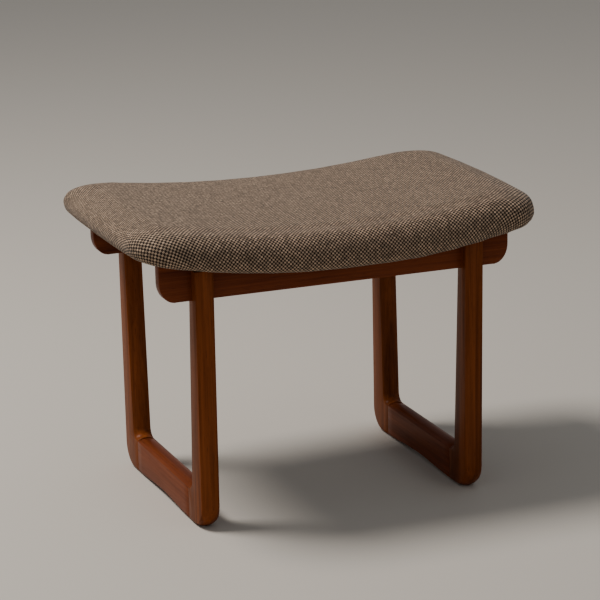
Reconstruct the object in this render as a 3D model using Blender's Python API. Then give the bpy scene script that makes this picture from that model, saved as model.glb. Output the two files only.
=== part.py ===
"""Upholstered saddle stool on two wooden sled frames, as an assembly of separate pieces.

Metres, +Z up, X along the length of the seat, origin on the floor below the middle of the seat.
"""
import math

import bmesh
import bpy
from mathutils import Vector

# Driving dimensions
GAP = 0.0003                # clearance between pieces that touch

FRAME_OUTER_X = 0.208       # outer face of each sled frame
FRAME_THICK = 0.026         # frame timber across X
EDGE_CROWN = 0.005          # how far the rounded edges of the frame timber swell
FOOT_BASE = 0.003           # lower edge of the flat side faces; the underside swells to the floor
FOOT_JOINT_Y = 0.108        # plane where a foot meets its floor rail
FOOT_HEIGHT = 0.0467        # upper edge of the flat side faces of the foot and the floor rail
FOOT_CORNER = 0.031         # rounded outer corner of a foot
FOOT_FILLET = 0.014         # inner fillet between foot and leg
LEG_INNER_LOW = 0.1222      # inner edge of a leg's flat face, at the floor and at the apron
LEG_INNER_HIGH = 0.1376
LEG_OUTER_LOW = 0.1604      # outer edge of a leg's flat face, at the floor and at the apron
LEG_OUTER_HIGH = 0.1626
RAIL_ARCH = 0.0045          # rise of the floor rail's underside at its middle

APRON_BOTTOM = 0.3187
APRON_FRONT = 0.1486        # outer plane of each apron
APRON_THICK = 0.016
APRON_HALF = 0.2525         # half length of an apron
APRON_END_RADIUS = 0.019    # rounded lower corner, which starts above a slow rise
APRON_END_RISE = 0.0095
NOTCH_INNER = 0.100         # how far in the notch at a leg's top is cut

CROSS_RAIL_X = 0.150
CROSS_RAIL_WIDTH = 0.022
CROSS_RAIL_BOTTOM = 0.3215
CROSS_RAIL_CHAMFER = 0.001

SEAT_HALF_X = 0.2880        # outline of the upholstery at its widest line
SEAT_HALF_Y = 0.1810
SEAT_CORNER = 0.040
SEAT_BOW_X = 0.0070         # how far the ends and the long sides curve outward
SEAT_BOW_Y = 0.0140
SEAT_BOTTOM = 0.3485        # underside of the seat at its lowest line, the middle
SEAT_RISE = 0.0345          # how much higher the seat is at its ends
SEAT_THICK = 0.0500
SEAT_END_THIN = 0.10        # share of the thickness lost towards the ends
SEAT_CROWN = 0.0045
SIDE_ROUND = 0.028          # rounding of the top edge along the sides and across the ends
END_ROUND = 0.068
CREST_CORNER = 0.022        # corner radius of the outline where the top rounding begins
SIDE_WIDEST = 0.24          # height of the widest line, as a share of the thickness
END_WIDEST = 0.34
UNDER_TUCK = 0.010          # how far the upholstery tucks in below its widest line

COVER_THICK = 0.0012
LINING_THICK = 0.0008
WRAP_WIDTH = 0.026          # fabric turned under the board
BOARD_INSET = 0.014
BOARD_THICK = 0.009

DOWEL_RADIUS = 0.004
DOWEL_CHAMFER = 0.0008
FLOOR_DOWEL_HEIGHTS = (0.015, 0.033)
FLOOR_DOWEL_LENGTH = 0.038
CROSS_DOWEL_HEIGHTS = (CROSS_RAIL_BOTTOM + 0.009, CROSS_RAIL_BOTTOM + 0.023)
CROSS_DOWEL_LENGTH = 0.028
CROSS_DOWEL_IN_APRON = 0.011
SCREW_RADIUS = 0.002
SCREW_HEAD_RADIUS = 0.004
SCREW_HEAD_DEPTH = SCREW_HEAD_RADIUS - SCREW_RADIUS
SCREW_LENGTH = 0.027
SCREW_HEIGHTS = (APRON_BOTTOM + 0.011, APRON_BOTTOM + 0.031)
BOLT_RADIUS = 0.003
BOLT_HEAD_RADIUS = 0.0055
BOLT_HEAD_DEPTH = 0.0033
BOLT_Y = 0.085
INSERT_RADIUS = 0.0042
INSERT_FLANGE = 0.009       # radius of the flange, and the depth of the recess it lies in
INSERT_RECESS = 0.0022
INSERT_FLANGE_THICK = 0.0012

WOOD = (0.155, 0.052, 0.024, 1.0)
WOOD_RAIL = (0.180, 0.058, 0.026, 1.0)
FABRIC = (0.190, 0.145, 0.110, 1.0)


# Materials and scene helpers
def material(name, color, roughness, metallic=0.0):
    """A plain Principled material."""
    found = bpy.data.materials.get(name)
    if found:
        return found
    made = bpy.data.materials.new(name)
    made.use_nodes = True
    shader = made.node_tree.nodes["Principled BSDF"]
    shader.inputs["Base Color"].default_value = color
    shader.inputs["Roughness"].default_value = roughness
    shader.inputs["Metallic"].default_value = metallic
    return made


def add_object(name, bm, finish):
    """Put a finished bmesh in the scene as one named piece."""
    bmesh.ops.remove_doubles(bm, verts=bm.verts, dist=1e-6)
    bmesh.ops.recalc_face_normals(bm, faces=bm.faces)
    mesh = bpy.data.meshes.new(name)
    bm.to_mesh(mesh)
    bm.free()
    mesh.materials.append(finish)
    piece = bpy.data.objects.new(name, mesh)
    bpy.context.collection.objects.link(piece)
    mesh.shade_smooth()
    mesh.set_sharp_from_angle(angle=math.radians(35))
    return piece


def cut(piece, cutter):
    """Subtract a hidden cutter from a piece."""
    cutter.hide_render = True
    cutter.display_type = "WIRE"
    modifier = piece.modifiers.new("Cut", "BOOLEAN")
    modifier.operation = "DIFFERENCE"
    modifier.solver = "EXACT"
    modifier.object = cutter


def box(bm, low, high):
    """Add a box between two corners."""
    made = bmesh.ops.create_cube(bm, size=1.0)
    for vert in made["verts"]:
        vert.co = Vector([low[i] + (vert.co[i] + 0.5) * (high[i] - low[i]) for i in range(3)])


def loft(bm, rings, capped=True):
    """Skin rings of equal length, one after the other, and cap the two ends."""
    rows = [[bm.verts.new(point) for point in ring] for ring in rings]
    count = len(rows[0])
    for first, second in zip(rows, rows[1:]):
        for i in range(count):
            j = (i + 1) % count
            bm.faces.new((first[i], first[j], second[j], second[i]))
    if capped:
        bm.faces.new(rows[0])
        bm.faces.new(rows[-1][::-1])
    return rows


def turned(bm, start, direction, profile, sides=10):
    """Revolve (distance along, radius) pairs about an axis; the ends close in points or discs."""
    axis = Vector(direction).normalized()
    side = axis.orthogonal().normalized()
    up = axis.cross(side)
    rings = []
    for along, radius in profile:
        ring = []
        for i in range(sides):
            turn = 2 * math.pi * i / sides
            ring.append(Vector(start) + axis * along + (side * math.cos(turn) + up * math.sin(turn)) * radius)
        rings.append(ring)
    loft(bm, rings)


def drill(piece, start, direction, depth, radius, sides=10):
    """Cut a round hole; the drill starts a little outside the face."""
    bm = bmesh.new()
    lead = 0.002
    begin = Vector(start) - Vector(direction).normalized() * lead
    turned(bm, begin, direction, [(0.0, radius), (depth + lead, radius)], sides)
    cutter = add_object(piece.name + "_drill", bm, finish_wood)
    cut(piece, cutter)


# Sled frames: legs with their feet, and floor rails
def frame_section(inner, outer, inner_swell, outer_swell, flatten=0.0, steps=4):
    """Cross-section of frame timber: flat side faces, with swelling inner and outer edges.

    inner and outer are (y, z) points on the flat face's two edges; the swells are (dy, dz)
    at the middle of the timber's thickness. flatten is 1 where the outer edge rests on the
    floor, so that its middle is a flat strip. X is measured from the middle of the timber.
    """
    ring = []
    for edge, swell, way, flat in ((outer, outer_swell, 1, flatten), (inner, inner_swell, -1, 0.0)):
        for i in range(steps + 1):
            across = way * (2.0 * i / steps - 1.0)
            share = 1.0 - across * across
            share += (min(share, 0.75) / 0.75 - share) * flat
            ring.append(Vector((across * FRAME_THICK / 2, edge[0] + swell[0] * share, edge[1] + swell[1] * share)))
    return ring


def leg_edge_y(low, high, z):
    """Y of a leg's flat edge at a height: it leans between the floor and the apron."""
    return low + (high - low) * z / APRON_BOTTOM


def leg_stations(top):
    """(inner point, outer point, turn) from the rail joint round the foot and up the leg.

    turn is the angle that the timber has turned through, 0 along the floor and upright at 90.
    """
    joint = FOOT_JOINT_Y + GAP / 2
    stations = [((joint, FOOT_HEIGHT), (joint, FOOT_BASE), 0.0)]
    foot_start = LEG_OUTER_LOW - FOOT_CORNER
    inner_corner = leg_edge_y(LEG_INNER_LOW, LEG_INNER_HIGH, FOOT_HEIGHT + FOOT_FILLET) - FOOT_FILLET
    turns = 8
    for i in range(turns + 1):
        turn = math.pi / 2 * i / turns
        inner = (inner_corner + FOOT_FILLET * math.sin(turn), FOOT_HEIGHT + FOOT_FILLET * (1 - math.cos(turn)))
        outer = (foot_start + FOOT_CORNER * math.sin(turn), FOOT_BASE + FOOT_CORNER * (1 - math.cos(turn)))
        stations.append((inner, outer, turn))
    for z in (0.14, 0.24, top):
        inner = (leg_edge_y(LEG_INNER_LOW, LEG_INNER_HIGH, z), z)
        outer = (leg_edge_y(LEG_OUTER_LOW, LEG_OUTER_HIGH, z), z)
        stations.append((inner, outer, math.pi / 2))
    return stations


def make_leg(name, x_side, y_side):
    """An upright with its foot: one L-shaped timber, halved at the top to take the apron."""
    top = seat_underside(FRAME_OUTER_X - FRAME_THICK) - COVER_THICK - 2 * GAP
    middle_x = x_side * (FRAME_OUTER_X - FRAME_THICK / 2)
    rings = []
    for inner, outer, turn in leg_stations(top):
        inner_swell = (-EDGE_CROWN * math.sin(turn), EDGE_CROWN * math.cos(turn))
        outer_swell = (EDGE_CROWN * math.sin(turn), -FOOT_BASE * math.cos(turn))
        ring = frame_section(inner, outer, inner_swell, outer_swell, math.cos(turn) ** 2)
        rings.append([Vector((middle_x + p.x, y_side * p.y, p.z)) for p in ring])
    bm = bmesh.new()
    loft(bm, rings)
    leg = add_object(name, bm, finish_leg)
    bm = bmesh.new()
    notch = sorted((y_side * NOTCH_INNER, y_side * (APRON_FRONT + GAP)))
    reach = FRAME_THICK
    box(bm, (middle_x - reach, notch[0], APRON_BOTTOM - GAP), (middle_x + reach, notch[1], top + 0.02))
    cut(leg, add_object(name + "_notch", bm, finish_wood))
    for z in FLOOR_DOWEL_HEIGHTS:
        start = (middle_x, y_side * (FOOT_JOINT_Y + GAP / 2), z)
        drill(leg, start, (0, y_side, 0), FLOOR_DOWEL_LENGTH / 2 + GAP, DOWEL_RADIUS + GAP)
    for z in SCREW_HEIGHTS:
        start = (middle_x, y_side * APRON_FRONT, z)
        drill(leg, start, (0, y_side, 0), SCREW_LENGTH - APRON_THICK + 2 * GAP, SCREW_RADIUS + GAP)
    return leg


def make_floor_rail(name, x_side):
    """The rail on the floor between two feet: crowned on top, arched a little underneath."""
    middle_x = x_side * (FRAME_OUTER_X - FRAME_THICK / 2)
    half = FOOT_JOINT_Y - GAP / 2
    spans = 10
    rings = []
    for i in range(spans + 1):
        y = -half + 2 * half * i / spans
        low = FOOT_BASE + RAIL_ARCH * math.cos(math.pi * y / (2 * half)) ** 2
        ring = frame_section((y, FOOT_HEIGHT), (y, low), (0.0, EDGE_CROWN), (0.0, -FOOT_BASE), 1.0)
        rings.append([Vector((middle_x + p.x, p.y, p.z)) for p in ring])
    bm = bmesh.new()
    loft(bm, rings)
    rail = add_object(name, bm, finish_rail)
    for y_side in (-1, 1):
        for z in FLOOR_DOWEL_HEIGHTS:
            start = (middle_x, y_side * half, z)
            drill(rail, start, (0, -y_side, 0), FLOOR_DOWEL_LENGTH / 2 + GAP, DOWEL_RADIUS + GAP)
    return rail


# Aprons and cross rails
def seat_underside(x):
    """Height of the underside of the upholstered seat along its length."""
    return SEAT_BOTTOM + SEAT_RISE * (x / SEAT_HALF_X) ** 2


def make_apron(name, y_side):
    """A long rail under one side of the seat, hollowed on top to the saddle, ends rounded up."""
    clearance = COVER_THICK + LINING_THICK + 2 * GAP
    spans = 16
    top = []
    for i in range(spans + 1):
        x = APRON_HALF * (2.0 * i / spans - 1.0)
        top.append((x, seat_underside(x) - clearance))
    bottom_end = APRON_HALF - APRON_END_RADIUS
    right = []
    slope_start = FRAME_OUTER_X - FRAME_THICK * 0.2
    for i in range(1, 4):
        x = slope_start + (bottom_end - slope_start) * i / 4
        share = (x - slope_start) / (bottom_end - slope_start)
        right.append((x, APRON_BOTTOM + APRON_END_RISE * share ** 1.5))
    centre = (bottom_end, APRON_BOTTOM + APRON_END_RISE + APRON_END_RADIUS)
    for i in range(7):
        turn = math.radians(18 + 72 * i / 6)
        right.append((centre[0] + APRON_END_RADIUS * math.sin(turn), centre[1] - APRON_END_RADIUS * math.cos(turn)))
    bottom = [(slope_start, APRON_BOTTOM)] + right
    outline = top[::-1] + [(-x, z) for x, z in bottom[::-1]] + bottom
    low, high = sorted((y_side * APRON_FRONT, y_side * (APRON_FRONT - APRON_THICK)))
    bm = bmesh.new()
    loft(bm, [[Vector((x, y, z)) for x, z in outline] for y in (low, high)])
    apron = add_object(name, bm, finish_rail)
    inner = y_side * (APRON_FRONT - APRON_THICK)
    for x_side in (-1, 1):
        middle_x = x_side * (FRAME_OUTER_X - FRAME_THICK / 2)
        for z in SCREW_HEIGHTS:
            drill(apron, (middle_x, inner, z), (0, y_side, 0), APRON_THICK + 0.002, SCREW_RADIUS + GAP)
            countersink(apron, (middle_x, inner, z), (0, y_side, 0))
        for z in CROSS_DOWEL_HEIGHTS:
            start = (x_side * CROSS_RAIL_X, inner, z)
            drill(apron, start, (0, y_side, 0), CROSS_DOWEL_IN_APRON + GAP, DOWEL_RADIUS + GAP)
    return apron


def countersink(piece, start, direction):
    """Widen the mouth of a screw hole for a countersunk head."""
    lead = 0.001
    begin = Vector(start) - Vector(direction) * lead
    wide = SCREW_HEAD_RADIUS + 2 * GAP
    deep = SCREW_HEAD_DEPTH + 2 * GAP
    bm = bmesh.new()
    turned(bm, begin, direction, [(0.0, wide + lead), (lead + 2 * GAP, wide), (lead + deep, SCREW_RADIUS + GAP)])
    cut(piece, add_object(piece.name + "_sink", bm, finish_wood))


def cross_rail_top():
    return seat_underside(CROSS_RAIL_X - CROSS_RAIL_WIDTH / 2) - COVER_THICK - LINING_THICK - 2 * GAP


def make_cross_rail(name, x_side):
    """A bearer between the two aprons, which the seat is bolted to from below."""
    half = APRON_FRONT - APRON_THICK - GAP
    x = x_side * CROSS_RAIL_X
    bm = bmesh.new()
    box(bm, (x - CROSS_RAIL_WIDTH / 2, -half, CROSS_RAIL_BOTTOM), (x + CROSS_RAIL_WIDTH / 2, half, cross_rail_top()))
    bearer = add_object(name, bm, finish_rail)
    soften = bearer.modifiers.new("Soften", "BEVEL")
    soften.width = CROSS_RAIL_CHAMFER
    soften.segments = 1
    for y_side in (-1, 1):
        for z in CROSS_DOWEL_HEIGHTS:
            depth = CROSS_DOWEL_LENGTH - CROSS_DOWEL_IN_APRON + GAP
            drill(bearer, (x, y_side * half, z), (0, -y_side, 0), depth, DOWEL_RADIUS + GAP)
        drill(bearer, (x, y_side * BOLT_Y, CROSS_RAIL_BOTTOM), (0, 0, 1), 0.06, BOLT_RADIUS + 2 * GAP)
    return bearer


# Seat: every layer is a loft of rings that follow the saddle
def rounded_outline(half_x, half_y, radius):
    """(x, y, normal) round a rectangle with round corners, always with the same point count."""
    long_steps, short_steps, corner_steps = 8, 4, 5
    points = []
    for quarter in range(4):
        sign_x = (1, -1, -1, 1)[quarter]
        sign_y = (1, 1, -1, -1)[quarter]
        centre = (sign_x * (half_x - radius), sign_y * (half_y - radius))
        for i in range(corner_steps + 1):
            turn = (quarter + i / corner_steps) * math.pi / 2
            normal = (math.cos(turn), math.sin(turn))
            points.append((centre[0] + radius * normal[0], centre[1] + radius * normal[1], normal))
        steps = (long_steps, short_steps)[quarter % 2]
        if quarter % 2 == 0:
            run = (-2 * sign_x * (half_x - radius), 0.0)
        else:
            run = (0.0, -2 * sign_y * (half_y - radius))
        x, y, normal = points[-1]
        for i in range(1, steps):
            points.append((x + run[0] * i / steps, y + run[1] * i / steps, normal))
    return points


def seat_outline():
    """(widest point, crest point, normal) for each column round the seat, with bowed sides.

    The crest point is where the rounding of the top edge ends.
    """
    widest = rounded_outline(SEAT_HALF_X, SEAT_HALF_Y, SEAT_CORNER)
    crest = rounded_outline(SEAT_HALF_X - END_ROUND, SEAT_HALF_Y - SIDE_ROUND, CREST_CORNER)
    columns = []
    for (x, y, normal), (top_x, top_y, _) in zip(widest, crest):
        bow_x = SEAT_BOW_X * max(0.0, 1 - (y / SEAT_HALF_Y) ** 2) * normal[0]
        bow_y = SEAT_BOW_Y * max(0.0, 1 - (x / SEAT_HALF_X) ** 2) * normal[1]
        columns.append(((x + bow_x, y + bow_y), (top_x + bow_x, top_y + bow_y), normal))
    return columns


def seat_edge(width, end_share, shrink):
    """(inset, height) pairs from the crest of the rounding down to the tucked lower edge.

    width is the rounding's own width, end_share is 1 on the ends and 0 on the long sides,
    and shrink offsets the whole curve inward.
    """
    widest = SEAT_THICK * (SIDE_WIDEST + (END_WIDEST - SIDE_WIDEST) * end_share)
    crest = SEAT_THICK - widest
    pairs = []
    for i in range(7):
        turn = math.pi / 2 * i / 6
        across, up = math.sin(turn) / width, math.cos(turn) / crest
        step = shrink / math.hypot(across, up)
        pairs.append((width * (1 - math.sin(turn)) + step * across, widest + crest * math.cos(turn) - step * up))
    for i in range(1, 4):
        turn = math.pi / 2 * i / 3
        across, down = math.cos(turn) / UNDER_TUCK, math.sin(turn) / widest
        step = shrink / math.hypot(across, down)
        pairs.append((UNDER_TUCK * (1 - math.cos(turn)) + step * across, widest * (1 - math.sin(turn)) + step * down))
    return pairs


def seat_point(x, y, height):
    """Lift a height above the flat seat to the saddle."""
    thinning = 1 - SEAT_END_THIN * (x / SEAT_HALF_X) ** 2
    return Vector((x, y, seat_underside(x) + height * thinning))


def seat_rings(shrink):
    """Rings over the top of the cushion and down its sides, from the middle outward."""
    columns = []
    for widest, crest, normal in seat_outline():
        run = Vector(crest) - Vector(widest)
        pairs = seat_edge(run.length, normal[0] ** 2, shrink)
        places = [Vector(widest) + run.normalized() * inset for inset, _ in pairs]
        columns.append([(place.x, place.y, height) for place, (_, height) in zip(places, pairs)])
    rings = [list(ring) for ring in zip(*columns)]
    inner = []
    for share in (0.3, 0.6, 0.85):
        inner.append([(x * share, y * share, z + SEAT_CROWN * (1 - share ** 2)) for x, y, z in rings[0]])
    return inner + rings


def flat_ring(inset, height):
    """A ring at a constant inset from the widest line."""
    return [(p[0] - n[0] * inset, p[1] - n[1] * inset, height) for p, _, n in seat_outline()]


def scaled(ring, share):
    """The same ring drawn in towards the middle of the seat."""
    return [(x * share, y * share, z) for x, y, z in ring]


def seat_layer(name, rings, finish):
    """Skin flat-seat rings along the saddle; the two end rings close in a fan at the middle.

    Each cell is split from its corner nearer the middle, so that layers lie flat on each other.
    """
    bm = bmesh.new()
    rows = [[bm.verts.new(seat_point(*point)) for point in ring] for ring in rings]
    spread = [sum(math.hypot(x, y) for x, y, _ in ring) for ring in rings]
    for k in range(len(rows) - 1):
        near, far = (k, k + 1) if spread[k] < spread[k + 1] else (k + 1, k)
        for i in range(len(rows[0])):
            j = (i + 1) % len(rows[0])
            bm.faces.new((rows[near][i], rows[near][j], rows[far][j]))
            bm.faces.new((rows[near][i], rows[far][j], rows[far][i]))
    for row, ring in ((rows[0], rings[0]), (rows[-1], rings[-1])):
        centre = bm.verts.new(seat_point(0.0, 0.0, sum(point[2] for point in ring) / len(ring)))
        for i, vert in enumerate(row):
            bm.faces.new((vert, row[(i + 1) % len(row)], centre))
    return add_object(name, bm, finish)


def make_cover():
    """Woven cover: over the top, down the sides and turned under the board, open beneath."""
    outer = seat_rings(0.0)
    inner = seat_rings(COVER_THICK)
    wrap = UNDER_TUCK + WRAP_WIDTH
    hem = [flat_ring(wrap, 0.0), flat_ring(wrap, COVER_THICK)]
    return seat_layer("seat_cover", outer + hem + inner[::-1], finish_fabric)


def board_bottom():
    return COVER_THICK + GAP


def make_foam():
    """Foam pad: moulded over the board's top and round its edge."""
    shell = seat_rings(COVER_THICK + GAP)
    edge = BOARD_INSET - GAP
    top = board_bottom() + BOARD_THICK + GAP
    foot = flat_ring(edge, board_bottom())
    recess = flat_ring(edge, top)
    inner = [scaled(recess, 0.75), scaled(recess, 0.4)]
    return seat_layer("seat_foam", shell + [foot, recess] + inner, finish_foam)


def make_board():
    """Bent plywood seat board, drilled for four threaded inserts."""
    low = flat_ring(BOARD_INSET, board_bottom())
    high = flat_ring(BOARD_INSET, board_bottom() + BOARD_THICK)
    rings = [scaled(low, 0.4), scaled(low, 0.75), low, high, scaled(high, 0.75), scaled(high, 0.4)]
    board = seat_layer("seat_board", rings[::-1], finish_ply)
    for x, y in bolt_places():
        drill(board, (x, y, seat_underside(x)), (0, 0, 1), 0.03, INSERT_RADIUS + GAP)
        top = seat_point(x, y, board_bottom() + BOARD_THICK).z
        recess = 0.003 + INSERT_RECESS + GAP
        drill(board, (x, y, top + 0.003), (0, 0, -1), recess, INSERT_FLANGE + GAP, sides=16)
    return board


def make_lining():
    """Thin non-woven dust lining stapled over the turned-under fabric."""
    rims = []
    for height in (-GAP, -LINING_THICK - GAP):
        hem = flat_ring(UNDER_TUCK + WRAP_WIDTH, height)
        rims.append([scaled(hem, 0.4), scaled(hem, 0.75), hem, flat_ring(UNDER_TUCK + 0.012, height)])
    rings = rims[0] + rims[1][::-1]
    lining = seat_layer("dust_lining", rings, finish_lining)
    for x, y in bolt_places():
        drill(lining, (x, y, seat_underside(x) - 0.004), (0, 0, 1), 0.02, BOLT_RADIUS + 2 * GAP)
    return lining


# Fasteners
def bolt_places():
    return [(x * CROSS_RAIL_X, y * BOLT_Y) for x in (-1, 1) for y in (-1, 1)]


def make_dowel(name, start, direction, length):
    slim = DOWEL_RADIUS - DOWEL_CHAMFER
    full = [(DOWEL_CHAMFER, DOWEL_RADIUS), (length - DOWEL_CHAMFER, DOWEL_RADIUS)]
    bm = bmesh.new()
    turned(bm, start, direction, [(0, slim)] + full + [(length, slim)])
    add_object(name, bm, finish_dowel)


def make_screw(name, start, direction):
    """Countersunk wood screw with a drive recess; the thread is left plain."""
    head = SCREW_HEAD_DEPTH
    tip = SCREW_RADIUS * 0.4
    recess = 0.0009
    profile = [(recess, 0.0008), (recess, 0.0014), (0, 0.0017), (0, SCREW_HEAD_RADIUS), (GAP, SCREW_HEAD_RADIUS)]
    profile += [(head + GAP, SCREW_RADIUS), (SCREW_LENGTH - 0.004, SCREW_RADIUS), (SCREW_LENGTH, tip)]
    bm = bmesh.new()
    turned(bm, start, direction, profile)
    add_object(name, bm, finish_steel)


def make_bolt(name, x, y):
    """Button-head machine screw up through a cross rail into the seat's insert."""
    top = seat_point(x, y, board_bottom() + BOARD_THICK).z
    head, wide = BOLT_HEAD_DEPTH, BOLT_HEAD_RADIUS
    start = CROSS_RAIL_BOTTOM - GAP - head
    length = top - 0.001 - start
    chamfer = 0.0008
    profile = [(0.0014, 0.0012), (0.0014, 0.0019), (0, 0.0022), (0, wide * 0.72), (head * 0.45, wide * 0.95)]
    profile += [(head * 0.8, wide), (head, wide), (head, BOLT_RADIUS), (length - chamfer, BOLT_RADIUS)]
    profile += [(length, BOLT_RADIUS - chamfer)]
    bm = bmesh.new()
    turned(bm, (x, y, start), (0, 0, 1), profile)
    add_object(name, bm, finish_steel)


def make_insert(name, x, y):
    """Flanged threaded insert pressed into the board from above."""
    low = seat_underside(abs(x) + CROSS_RAIL_WIDTH / 2) + board_bottom() + 0.0015
    top = seat_point(x, y, board_bottom() + BOARD_THICK).z
    flange = top - INSERT_RECESS + GAP
    bore = BOLT_RADIUS + GAP
    rings = [(low, bore), (low, INSERT_RADIUS), (flange, INSERT_RADIUS), (flange, INSERT_FLANGE)]
    rings += [(flange + INSERT_FLANGE_THICK, INSERT_FLANGE), (flange + INSERT_FLANGE_THICK, bore)]
    bm = bmesh.new()
    sides = 12
    rows = []
    for z, radius in rings:
        turns = [2 * math.pi * i / sides for i in range(sides)]
        rows.append([Vector((x + radius * math.cos(t), y + radius * math.sin(t), z)) for t in turns])
    loft(bm, rows + rows[:1], capped=False)
    add_object(name, bm, finish_steel)


# Build
for old in list(bpy.data.objects):
    bpy.data.objects.remove(old)

finish_wood = material("cutter", (0.5, 0.5, 0.5, 1.0), 0.5)
finish_leg = material("frame_wood", WOOD, 0.38)
finish_rail = material("rail_wood", WOOD_RAIL, 0.38)
finish_dowel = material("dowel_wood", (0.62, 0.45, 0.28, 1.0), 0.6)
finish_ply = material("plywood", (0.58, 0.42, 0.26, 1.0), 0.6)
finish_fabric = material("tweed", FABRIC, 0.92)
finish_foam = material("foam", (0.75, 0.72, 0.6, 1.0), 0.95)
finish_lining = material("lining", (0.03, 0.03, 0.03, 1.0), 0.9)
finish_steel = material("zinc_steel", (0.6, 0.6, 0.58, 1.0), 0.35, 1.0)

make_cover()
make_foam()
make_board()
make_lining()

SIDES = {-1: "left", 1: "right"}
DEPTHS = {-1: "front", 1: "rear"}

for y_side, depth_name in DEPTHS.items():
    make_apron(depth_name + "_apron", y_side)
    for x_side, side_name in SIDES.items():
        corner = side_name + "_" + depth_name
        make_leg(corner + "_leg", x_side, y_side)
        middle_x = x_side * (FRAME_OUTER_X - FRAME_THICK / 2)
        for place, z in zip(("lower", "upper"), FLOOR_DOWEL_HEIGHTS):
            start = (middle_x, y_side * (FOOT_JOINT_Y - FLOOR_DOWEL_LENGTH / 2), z)
            make_dowel(f"{corner}_floor_dowel_{place}", start, (0, y_side, 0), FLOOR_DOWEL_LENGTH)
        for place, z in zip(("lower", "upper"), SCREW_HEIGHTS):
            start = (middle_x, y_side * (APRON_FRONT - APRON_THICK + GAP), z)
            make_screw(f"{corner}_leg_screw_{place}", start, (0, y_side, 0))
        for place, z in zip(("lower", "upper"), CROSS_DOWEL_HEIGHTS):
            begin = APRON_FRONT - APRON_THICK + CROSS_DOWEL_IN_APRON - CROSS_DOWEL_LENGTH
            start = (x_side * CROSS_RAIL_X, y_side * begin, z)
            make_dowel(f"{corner}_cross_dowel_{place}", start, (0, y_side, 0), CROSS_DOWEL_LENGTH)
        make_bolt(corner + "_seat_bolt", x_side * CROSS_RAIL_X, y_side * BOLT_Y)
        make_insert(corner + "_seat_insert", x_side * CROSS_RAIL_X, y_side * BOLT_Y)

for x_side, side_name in SIDES.items():
    make_floor_rail(side_name + "_floor_rail", x_side)
    make_cross_rail(side_name + "_cross_rail", x_side)
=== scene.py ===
import math

import bpy
from mathutils import Matrix, Vector


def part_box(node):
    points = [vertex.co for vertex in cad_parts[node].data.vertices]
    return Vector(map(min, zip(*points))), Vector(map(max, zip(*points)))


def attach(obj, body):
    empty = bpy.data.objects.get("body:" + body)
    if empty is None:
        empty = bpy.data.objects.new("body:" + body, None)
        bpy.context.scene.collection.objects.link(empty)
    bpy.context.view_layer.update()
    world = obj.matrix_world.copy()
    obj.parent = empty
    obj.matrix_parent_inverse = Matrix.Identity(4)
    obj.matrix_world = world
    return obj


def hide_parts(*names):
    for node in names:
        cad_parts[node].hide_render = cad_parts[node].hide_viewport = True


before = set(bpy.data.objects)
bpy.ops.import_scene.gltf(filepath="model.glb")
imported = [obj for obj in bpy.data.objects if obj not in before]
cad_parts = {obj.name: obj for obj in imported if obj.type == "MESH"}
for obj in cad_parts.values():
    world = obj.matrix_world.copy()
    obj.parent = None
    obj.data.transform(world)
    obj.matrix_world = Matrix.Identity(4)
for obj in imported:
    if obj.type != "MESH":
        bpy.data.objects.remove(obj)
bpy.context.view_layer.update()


# Camera and floor.
# A long lens looks down at the stool from the front left, so that its left end and its
# front show. The floor is one pale matt sheet that reaches past every edge of the view.
CAMERA_PLACE = (-1.3105, -3.32748, 1.24767)
CAMERA_YAW = 0.3864         # turned to the right of the +Y axis
CAMERA_PITCH = 0.3074       # looking down
CAMERA_ROLL = -0.0164
CAMERA_LENS = 159.287       # mm, on a 36 mm sensor
CAMERA_SHIFT = (-0.0472, 0.16475)
FLOOR_HALF = 14.0
FLOOR_DROP = 0.0002         # keeps the feet from sharing the floor's face

bpy.ops.object.select_all(action="DESELECT")
bpy.ops.object.camera_add(location=CAMERA_PLACE)
camera = bpy.context.object
turn = Matrix.Rotation(-CAMERA_YAW, 4, "Z") @ Matrix.Rotation(math.pi / 2 - CAMERA_PITCH, 4, "X")
camera.rotation_euler = (turn @ Matrix.Rotation(CAMERA_ROLL, 4, "Z")).to_euler()
camera.data.sensor_width = 36.0
camera.data.lens = CAMERA_LENS
camera.data.shift_x, camera.data.shift_y = CAMERA_SHIFT
camera.data.clip_end = 100.0
bpy.context.scene.camera = camera


def wire(tree, socket, value):
    """Feed a socket from another node's output, or set it to a plain value."""
    if isinstance(value, bpy.types.NodeSocket):
        tree.links.new(value, socket)
    else:
        socket.default_value = value


def add_node(tree, kind, *values, **named):
    """Add a node; values fill its inputs in order, and named ones by input or setting name."""
    made = tree.nodes.new(kind)
    for key, value in named.items():
        if hasattr(made, key):
            setattr(made, key, value)
    for socket, value in zip(made.inputs, values):
        if value is not None:
            wire(tree, socket, value)
    for key, value in named.items():
        if not hasattr(made, key):
            wire(tree, made.inputs[key], value)
    return made


def sum_of(tree, operation, *values):
    """One Math node's result."""
    return add_node(tree, "ShaderNodeMath", *values, operation=operation).outputs[0]


def blend_color(tree, factor, first, second, mode="MIX"):
    """Mix two colours, by a factor."""
    made = add_node(tree, "ShaderNodeMix", data_type="RGBA", blend_type=mode)
    wire(tree, made.inputs[0], factor)
    wire(tree, made.inputs[6], first)
    wire(tree, made.inputs[7], second)
    return made.outputs[2]


def new_finish(name, color, roughness, **constants):
    """A material with its Principled shader; returns (material, tree, shader)."""
    made = bpy.data.materials.new(name)
    made.use_nodes = True
    tree = made.node_tree
    shader = tree.nodes["Principled BSDF"]
    shader.inputs["Base Color"].default_value = color
    shader.inputs["Roughness"].default_value = roughness
    for key, value in constants.items():
        shader.inputs[key.replace("_", " ")].default_value = value
    return made, tree, shader


def dress(piece, finish):
    """Give a piece this one finish."""
    piece.data.materials.clear()
    piece.data.materials.append(finish)


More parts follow.
